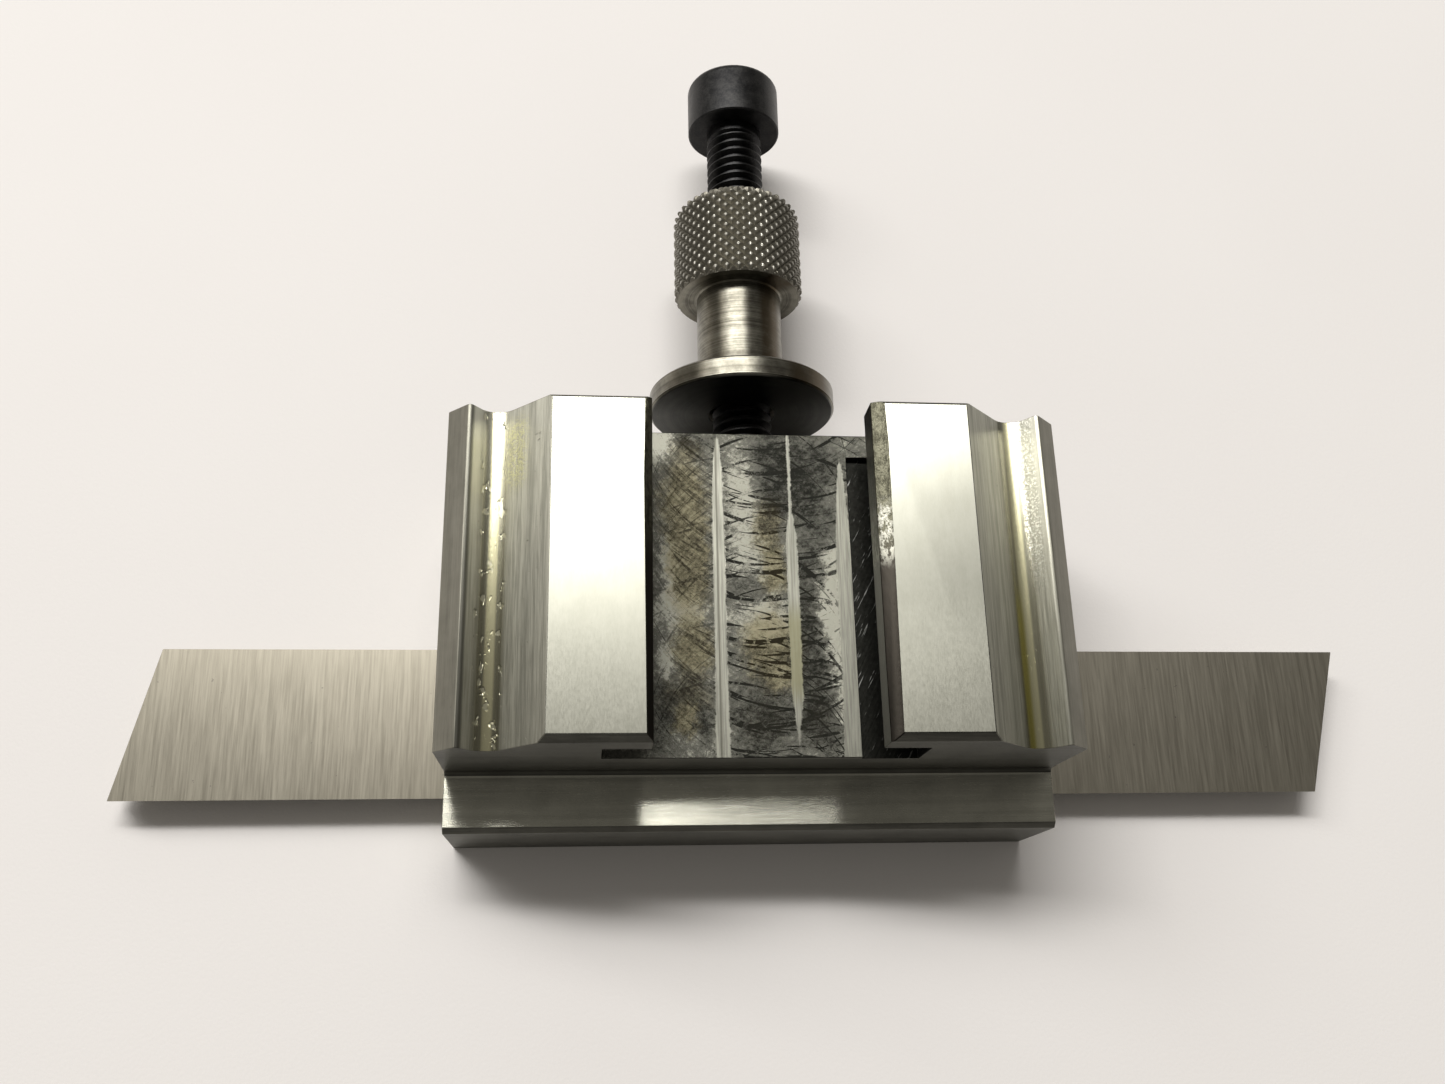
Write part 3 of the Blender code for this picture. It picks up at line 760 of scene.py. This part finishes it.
def on_axis(radius, height, angle, centre, along):
    """A point of a turned piece whose axis runs along +Y or +Z from centre."""
    across = radius * math.cos(angle)
    out = radius * math.sin(angle)
    if along == "Y":
        return (centre[0] + across, centre[1] + height, centre[2] - out)
    return (centre[0] + across, centre[1] + out, centre[2] + height)


def arc(centre, radius, start, end, steps):
    """(radius, height) points on a profile's arc, in degrees from the radial direction."""
    points = []
    for i in range(steps + 1):
        angle = math.radians(start + (end - start) * i / steps)
        points.append((centre[0] + radius * math.cos(angle), centre[1] + radius * math.sin(angle)))
    return points


def add_rows(shape, rows, shift, centre, along):
    """Quads between rows of (radius, height, angle) points. The last column meets the first one,
    shift rows further on."""
    grid = []
    for row in rows:
        grid.append([shape.verts.new(Vector(on_axis(*p, centre, along)) * MM) for p in row])
    columns = len(rows[0])
    for r in range(len(rows) - 1):
        for c in range(columns):
            n = (c + 1) % columns
            up = shift if n == 0 else 0
            if r + 1 + up >= len(rows):
                continue
            shape.faces.new((grid[r][c], grid[r + up][n], grid[r + 1 + up][n], grid[r + 1][c]))


def lathe_rows(profile, columns):
    """Rows that turn a profile of (radius, height) points round the axis."""
    angles = [2 * math.pi * c / columns for c in range(columns)]
    return [[(radius, height, angle) for angle in angles] for radius, height in profile]


def thread_rows(low, high, pitch, outer, core, columns):
    """Rows that follow the thread's helix, squeezed onto a plain ring at each end."""
    crest_and_root = ((0.0, outer), (0.125, outer), (0.44, core), (0.69, core))
    turns = int(math.ceil((high - low) / pitch)) + 1
    rows = []
    for turn in range(-1, turns + 1):
        for phase, radius in crest_and_root:
            row = []
            for c in range(columns):
                height = low + (turn + phase + c / columns) * pitch
                inside = low < height < high
                height = min(max(height, low), high)
                row.append((radius if inside else core, height, 2 * math.pi * c / columns))
            rows.append(row)
    return rows


def turned_mesh(name, shape):
    """Joins up the rows of a turned piece and makes its mesh."""
    bmesh.ops.remove_doubles(shape, verts=shape.verts, dist=WELD)
    bmesh.ops.dissolve_degenerate(shape, edges=shape.edges, dist=WELD)
    bmesh.ops.recalc_face_normals(shape, faces=shape.faces)
    return mesh_from(name, shape)


def assign_finishes(mesh, pick):
    """Gives every face the material slot that pick names for it."""
    shape = bmesh.new()
    shape.from_mesh(mesh)
    for face in shape.faces:
        face.material_index = pick(face)
    shape.to_mesh(mesh)
    shape.free()


def stand_in_for(item, node, body, materials):
    """Finishes a piece that is shown instead of a CAD node."""
    for material in materials:
        item.data.materials.append(material)
    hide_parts(node)
    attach(item, body)
    return item


# ---------------------------------------------------------------- the pieces


def wedge(name, side, sizes):
    """Cutter for a filed chamfer along one edge of the slot."""
    points = []
    ends = (BLOCK_HIGH.y + 1.0, RAIL_END - 1.0)
    for y, (width, drop) in zip(ends, sizes):
        slope = drop / width
        over = 0.5
        points.append((side * (SLOT_HALF_WIDTH - over), y, RAIL_TOP - drop - over * slope))
        points.append((side * (SLOT_HALF_WIDTH + width + over), y, RAIL_TOP + over * slope))
        points.append((side * (SLOT_HALF_WIDTH - over), y, RAIL_TOP + over * slope))
    return hull(name, points)


def at_rail_top_end(edge):
    return all(
        abs(v.co.y - RAIL_TOP_END * MM) < WELD * 5 and abs(v.co.z - RAIL_TOP * MM) < WELD * 5
        for v in edge.verts
    )


def bevel_edges(shape, edges, width, segments):
    bmesh.ops.bevel(
        shape,
        geom=edges,
        offset=width * MM,
        offset_type="OFFSET",
        segments=segments,
        profile=0.5,
        affect="EDGES",
        clamp_overlap=True,
    )


def break_edges(mesh):
    """A plain chamfer across the flats' top ends, and a fine rounding on every other edge."""
    shape = bmesh.new()
    shape.from_mesh(mesh)
    bevel_edges(shape, [e for e in shape.edges if at_rail_top_end(e)], TOP_END_CHAMFER, 1)
    edges = [e for e in shape.edges if e.is_manifold and e.calc_face_angle() > EDGE_ANGLE]
    bevel_edges(shape, edges, EDGE_BREAK, 2)
    shape.to_mesh(mesh)
    shape.free()


BLOCK_FINISHES = ("body", "side", "ledge", "flat", "flank", "bevel", "slot", "wing", "filed")


def block_finish(face):
    """Which of the block's finishes a face takes, from where it is and how it faces."""
    place = face.calc_center_median() / MM
    across = abs(place.x)
    up = face.normal.z
    if abs(face.normal.x) > 0.9 and across > BLOCK_HIGH.x - CLOSE:
        return "side"
    if up > 0.9 and place.y < RAIL_END:
        return "ledge"
    if place.y < RAIL_END or place.z < LEDGE or abs(face.normal.y) > 0.8:
        return "body"
    if up > 0.99 and place.z > RAIL_TOP - 0.05:
        return "flat"
    if across > RIDGE:
        return "bevel"
    if across > FLAT_OUTER and up > 0.3:
        return "flank"
    if up > 0.99 and abs(place.z - SLOT_FLOOR) < CLOSE:
        return "slot"
    if DEEP_FLOOR - CLOSE < place.z < WING_ROOF + CLOSE and across < WING_OUTER + CLOSE:
        return "wing"
    if across < SLOT_HALF_WIDTH + 1.3:
        return "filed"
    return "body"


def finished_block(finishes):
    """The block, with filed slot edges, broken edges and a finish for each kind of face."""
    shape = bmesh.new()
    shape.from_mesh(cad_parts["holder_block"].data)
    bmesh.ops.remove_doubles(shape, verts=shape.verts, dist=WELD)
    bmesh.ops.dissolve_limit(shape, angle_limit=math.radians(0.2), verts=shape.verts, edges=shape.edges)
    block = new_object("finished_block", mesh_from("finished_block", shape))
    block.data.materials.clear()
    subtract(block, wedge("file_right", 1, FILED_RIGHT))
    subtract(block, wedge("file_left", -1, FILED_LEFT))
    break_edges(block.data)
    stand_in_for(block, "holder_block", "holder", [finishes[name] for name in BLOCK_FINISHES])
    assign_finishes(block.data, lambda face: BLOCK_FINISHES.index(block_finish(face)))
    shade(block.data)
    weighted = block.modifiers.new("weigh", "WEIGHTED_NORMAL")
    weighted.weight = 100
    weighted.keep_sharp = True
    return block


def cap_head_profile():
    """The height screw's plain shank and head, out and round to the middle of the socket."""
    shank = SCREW_OUTER - 0.05
    rim = HEAD_SOCKET / 2
    profile = [
        (SCREW_CORE, -SCREW_PLAIN),
        (shank, -SCREW_PLAIN + 0.35),
        (shank, 0.0),
        (HEAD_RADIUS - 0.15, 0.0),
        (HEAD_RADIUS, 0.15),
    ]
    profile += arc((HEAD_RADIUS - HEAD_ROUND, HEAD_HEIGHT - HEAD_ROUND), HEAD_ROUND, 0, 90, 6)
    profile += [(rim + 0.65, HEAD_HEIGHT), (rim + 0.4, HEAD_HEIGHT - 0.2), (0.0, HEAD_HEIGHT - 0.2)]
    return profile


def cap_screw(oxide):
    """The height screw, with its real thread and socket head."""
    centre = (0.0, SCREW_UNDER_HEAD, SCREW_AXIS)
    start = SCREW_TIP - SCREW_LENGTH
    tip = [(0.0, -SCREW_LENGTH), (SCREW_CORE - 0.2, -SCREW_LENGTH), (SCREW_CORE, start)]
    shape = bmesh.new()
    add_rows(shape, lathe_rows(tip, SCREW_COLUMNS), 0, centre, "Y")
    thread = thread_rows(start, -SCREW_PLAIN, SCREW_PITCH, SCREW_OUTER, SCREW_CORE, SCREW_COLUMNS)
    add_rows(shape, thread, 4, centre, "Y")
    add_rows(shape, lathe_rows(cap_head_profile(), SCREW_COLUMNS), 0, centre, "Y")
    screw = new_object("cap_screw", turned_mesh("cap_screw", shape))
    socket = hexagon("socket", HEAD_SOCKET, HEAD_HEIGHT - HEAD_SOCKET_DEPTH, HEAD_HEIGHT + 1, centre, "Y")
    subtract(screw, socket)
    shade(screw.data)
    return stand_in_for(screw, "height_screw", "adjuster_screw", [oxide])


def countersunk_screw(side, name, body, oxide):
    """A clamp screw, head down in the front face, with its real thread and socket."""
    centre = (side * CLAMP_SCREW_X, CLAMP_SCREW_Y, CLAMP_RECESS)
    cone = CLAMP_LAND + CLAMP_HEAD - CLAMP_OUTER
    start = cone + 0.3
    end = CLAMP_LENGTH - 0.5
    head = [
        (0.0, 0.0),
        (CLAMP_HEAD - 0.1, 0.0),
        (CLAMP_HEAD, 0.1),
        (CLAMP_HEAD, CLAMP_LAND),
        (CLAMP_OUTER, cone),
        (CLAMP_CORE, start),
    ]
    tip = [(CLAMP_CORE, end), (CLAMP_CORE - 0.3, CLAMP_LENGTH), (0.0, CLAMP_LENGTH)]
    shape = bmesh.new()
    add_rows(shape, lathe_rows(head, CLAMP_COLUMNS), 0, centre, "Z")
    thread = thread_rows(start, end, CLAMP_PITCH, CLAMP_OUTER, CLAMP_CORE, CLAMP_COLUMNS)
    add_rows(shape, thread, 4, centre, "Z")
    add_rows(shape, lathe_rows(tip, CLAMP_COLUMNS), 0, centre, "Z")
    screw = new_object("socket_" + name, turned_mesh("socket_" + name, shape))
    subtract(screw, hexagon("socket", CLAMP_SOCKET, -1.0, CLAMP_SOCKET_DEPTH, centre, "Z"))
    shade(screw.data)
    return stand_in_for(screw, name, body, [oxide])


def knurl_envelope():
    """Points along the knurled outline at even spacing, up its side and over its round.

    Each has its radius, height, outward direction (out, up), distance along and distance left.
    """
    step = KNURL_PITCH / KNURL_SAMPLES
    straight = NUT_LENGTH - KNURL_ROUND - KNURL_START
    total = straight + KNURL_ROUND * math.pi / 2
    centre = (KNURL_RADIUS - KNURL_ROUND, NUT_LENGTH - KNURL_ROUND)
    points = []
    for i in range(int(total / step) + 1):
        along = i * step
        if along < straight:
            points.append((KNURL_RADIUS, KNURL_START + along, 1.0, 0.0, along, total - along))
            continue
        angle = (along - straight) / KNURL_ROUND
        out, up = math.cos(angle), math.sin(angle)
        radius = centre[0] + KNURL_ROUND * out
        points.append((radius, centre[1] + KNURL_ROUND * up, out, up, along, total - along))
    return points


def knurl_rows(columns):
    """The knurl's rows: two sets of grooves that cross, shallower as the round reaches the end."""
    rows = []
    for radius, height, out, up, along, left in knurl_envelope():
        fade = min(1.0, left / KNURL_FADE)
        chamfer = max(0.0, KNURL_CHAMFER - along)
        row = []
        for c in range(columns):
            turn = KNURL_COUNT * c / columns
            a = (turn + along / KNURL_PITCH) % 1.0
            b = (turn - along / KNURL_PITCH) % 1.0
            slope = max(abs(2 * a - 1), abs(2 * b - 1))
            groove = max(0.0, slope - KNURL_FLAT) / (1.0 - KNURL_FLAT) * KNURL_DEPTH * fade
            depth = max(groove, chamfer)
            row.append((radius - depth * out, height - depth * up, 2 * math.pi * c / columns))
        rows.append(row)
    return rows


def split_along_grooves(shape):
    """Cuts each quad corner to corner where it lies lowest, so the grooves stay sharp."""
    for face in list(shape.faces):
        corners = list(face.verts)
        out = [math.hypot(v.co.x, v.co.z - SCREW_AXIS * MM) for v in corners]
        start = 0 if out[0] + out[2] < out[1] + out[3] else 1
        bmesh.utils.face_split(face, corners[start], corners[start + 2])


def nut_profile():
    """The nut without its knurl: down the bore, round the flange and up the neck."""
    bore = [
        (NUT_BORE + 0.45, NUT_LENGTH),
        (NUT_BORE, NUT_LENGTH - 0.45),
        (NUT_BORE, 0.4),
        (NUT_BORE + 0.4, 0.0),
    ]
    flange = [
        (FLANGE_RADIUS - 0.25, 0.0),
        (FLANGE_RADIUS, 0.25),
        (FLANGE_RADIUS, FLANGE_THICKNESS - 0.25),
        (FLANGE_RADIUS - 0.25, FLANGE_THICKNESS),
    ]
    fillet = arc((NECK_RADIUS + 0.5, FLANGE_THICKNESS + 0.5), 0.5, 270, 180, 5)
    neck = [(NECK_RADIUS, KNURL_START - 0.15), (NECK_RADIUS + 0.15, KNURL_START)]
    return bore + flange + fillet + neck


def nut_finish(face):
    """1 for the knurled outline, 0 for the turned faces."""
    place = face.calc_center_median() / MM
    radius = math.hypot(place.x, place.z - SCREW_AXIS)
    height = place.y - NUT_BASE
    outline = radius > KNURL_RADIUS - KNURL_ROUND - 0.2 and height > KNURL_START + 0.02
    return 1 if outline else 0


def knurled_nut(turned, knurled):
    """The height nut: knurled head, neck and flange in one piece, in its two finishes."""
    centre = (0.0, NUT_BASE, SCREW_AXIS)
    columns = KNURL_COUNT * KNURL_SAMPLES
    shape = bmesh.new()
    rows = knurl_rows(columns)
    add_rows(shape, rows, 0, centre, "Y")
    split_along_grooves(shape)
    body = [rows[-1]] + lathe_rows(nut_profile(), columns) + [rows[0]]
    add_rows(shape, body, 0, centre, "Y")
    nut = new_object("knurled_nut", turned_mesh("knurled_nut", shape))
    stand_in_for(nut, "height_nut", "adjuster_nut", [turned, knurled])
    assign_finishes(nut.data, nut_finish)
    shade(nut.data, KNURL_SHARP)
    return nut


def dress_node(name, material, edge):
    """A CAD node that stays: a broken edge and its own steel."""
    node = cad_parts[name]
    for slot in node.material_slots:
        slot.material = material
    weld = node.modifiers.new("weld", "WELD")
    weld.merge_threshold = WELD
    bevel = node.modifiers.new("edge_break", "BEVEL")
    bevel.width = edge * MM
    bevel.segments = 2
    bevel.limit_method = "ANGLE"
    bevel.angle_limit = EDGE_ANGLE


# ---------------------------------------------------------------- the stage


def add_camera():
    """The camera that sees the holder as the photograph does."""
    down, yaw = CAMERA_DOWN, CAMERA_YAW
    forward = Vector((math.sin(yaw), math.cos(yaw) * math.cos(down), -math.cos(yaw) * math.sin(down)))
    right = forward.cross(Vector((0.0, 1.0, 0.0))).normalized()
    up = right.cross(forward)
    rolled_right = right * math.cos(CAMERA_ROLL) + up * math.sin(CAMERA_ROLL)
    rolled_up = up * math.cos(CAMERA_ROLL) - right * math.sin(CAMERA_ROLL)
    turn = Matrix((rolled_right, rolled_up, -forward)).transposed().to_4x4()
    data = bpy.data.cameras.new("camera")
    data.sensor_width = 36.0
    data.lens = CAMERA_LENS
    data.clip_start = 0.01
    data.clip_end = 20.0
    camera = bpy.data.objects.new("camera", data)
    camera.matrix_world = Matrix.Translation(CAMERA_PLACE) @ turn
    bpy.context.scene.collection.objects.link(camera)
    bpy.context.scene.camera = camera


def add_lamps():
    """The lamps, each turned to face the holder."""
    for lamp in LAMPS:
        data = bpy.data.lights.new(lamp["name"], "AREA")
        data.shape = "RECTANGLE"
        data.size, data.size_y = lamp["size"]
        data.energy = lamp["power"]
        data.color = LAMP_COLOUR
        back = Vector(lamp["aim"]).normalized()
        across = Vector((0.0, 1.0, 0.0)).cross(back).normalized()
        turn = Matrix((across, back.cross(across), back)).transposed().to_4x4()
        item = bpy.data.objects.new(lamp["name"], data)
        item.matrix_world = Matrix.Translation(LAMP_AIM + back * lamp["away"]) @ turn
        bpy.context.scene.collection.objects.link(item)


def add_room():
    """A dim room: lighter low down and on the far left, darkest round the viewer."""
    world = bpy.data.worlds.new("room")
    world.use_nodes = True
    tree = world.node_tree
    direction = tree.nodes.new("ShaderNodeTexCoord").outputs["Generated"]
    lean = tree.nodes.new("ShaderNodeVectorMath")
    lean.operation = "DOT_PRODUCT"
    lean.inputs[1].default_value = ROOM_LEAN
    tree.links.new(direction, lean.inputs[0])
    split = tree.nodes.new("ShaderNodeSeparateXYZ")
    tree.links.new(direction, split.inputs[0])
    light = room_ramp(tree, lean.outputs["Value"], (-0.5, 0.9), ROOM_DIM, ROOM_LIT)
    low = room_ramp(tree, split.outputs[2], (0.65, 0.2), (0.0, 0.0, 0.0), ROOM_LOW)
    total = tree.nodes.new("ShaderNodeVectorMath")
    tree.links.new(light, total.inputs[0])
    tree.links.new(low, total.inputs[1])
    tree.links.new(total.outputs[0], tree.nodes["Background"].inputs[0])
    bpy.context.scene.world = world


def room_ramp(tree, value, reach, first, last):
    """A colour that goes from first to last as the value crosses the reach."""
    span = tree.nodes.new("ShaderNodeMapRange")
    span.interpolation_type = "SMOOTHSTEP"
    span.inputs["From Min"].default_value = reach[0]
    span.inputs["From Max"].default_value = reach[1]
    tree.links.new(value, span.inputs["Value"])
    ramp = tree.nodes.new("ShaderNodeValToRGB")
    ramp.color_ramp.elements[0].color = (*first, 1.0)
    ramp.color_ramp.elements[1].color = (*last, 1.0)
    tree.links.new(span.outputs[0], ramp.inputs[0])
    return ramp.outputs[0]


def add_floor():
    """A wide sheet of paper, a hair's breadth under the holder."""
    shape = bmesh.new()
    bmesh.ops.create_grid(shape, x_segments=1, y_segments=1, size=FLOOR_HALF * MM)
    floor = new_object("paper_floor", mesh_from("paper_floor", shape))
    floor.location.z = -FLOOR_DROP * MM
    floor.data.materials.append(paper())


def main():
    bpy.context.scene.view_settings.view_transform = "Standard"
    finishes = {
        # The body finish is painted dark, as painted shade.
        "body": ground_steel("end_steel", (0.04, 1.0, 1.0), (0.0, 0.7, 0.7), END_SHADE_TONES, 0.34, 0.9),
        "ledge": ground_steel(
            "ledge_steel", (0.03, 1.0, 1.0), (0.0, 1.0, 0.0), LEDGE_TONES, 0.24, 1.0, lines=0.001
        ),
        "side": ground_steel("side_steel", (1.0, 0.04, 1.0), (0.0, 0.0, 1.0), BODY_TONES, 0.46),
        "flat": ground_steel(
            "rail_steel", (1.0, 0.25, 1.0), (1.0, 0.0, 0.0), RAIL_TONES, 0.38,
            lines=0.001, pitting=0.2, painted_shade=RAIL_PAINTED_SHADE,
        ),
        "flank": flank_steel(),
        "bevel": ground_steel("bevel_steel", (1.0, 0.04, 1.0), (-0.7, 0.0, 0.7), BEVEL_TONES, 0.42, 0.5),
        "slot": slot_floor_steel(),
        "wing": wing_steel(),
        "filed": filed_steel(),
    }
    finished_block(finishes)
    oxide = black_oxide()
    knurled_nut(turned_steel(), knurl_steel())
    cap_screw(oxide)
    countersunk_screw(-1, "clamp_screw_left", "left_clamp_screw", oxide)
    countersunk_screw(1, "clamp_screw_right", "right_clamp_screw", oxide)
    dress_node("parting_blade", blade_steel(), 0.06)
    dress_node("clamp_bar", clamp_steel(), 0.2)
    add_floor()
    add_lamps()
    add_room()
    add_camera()


main()
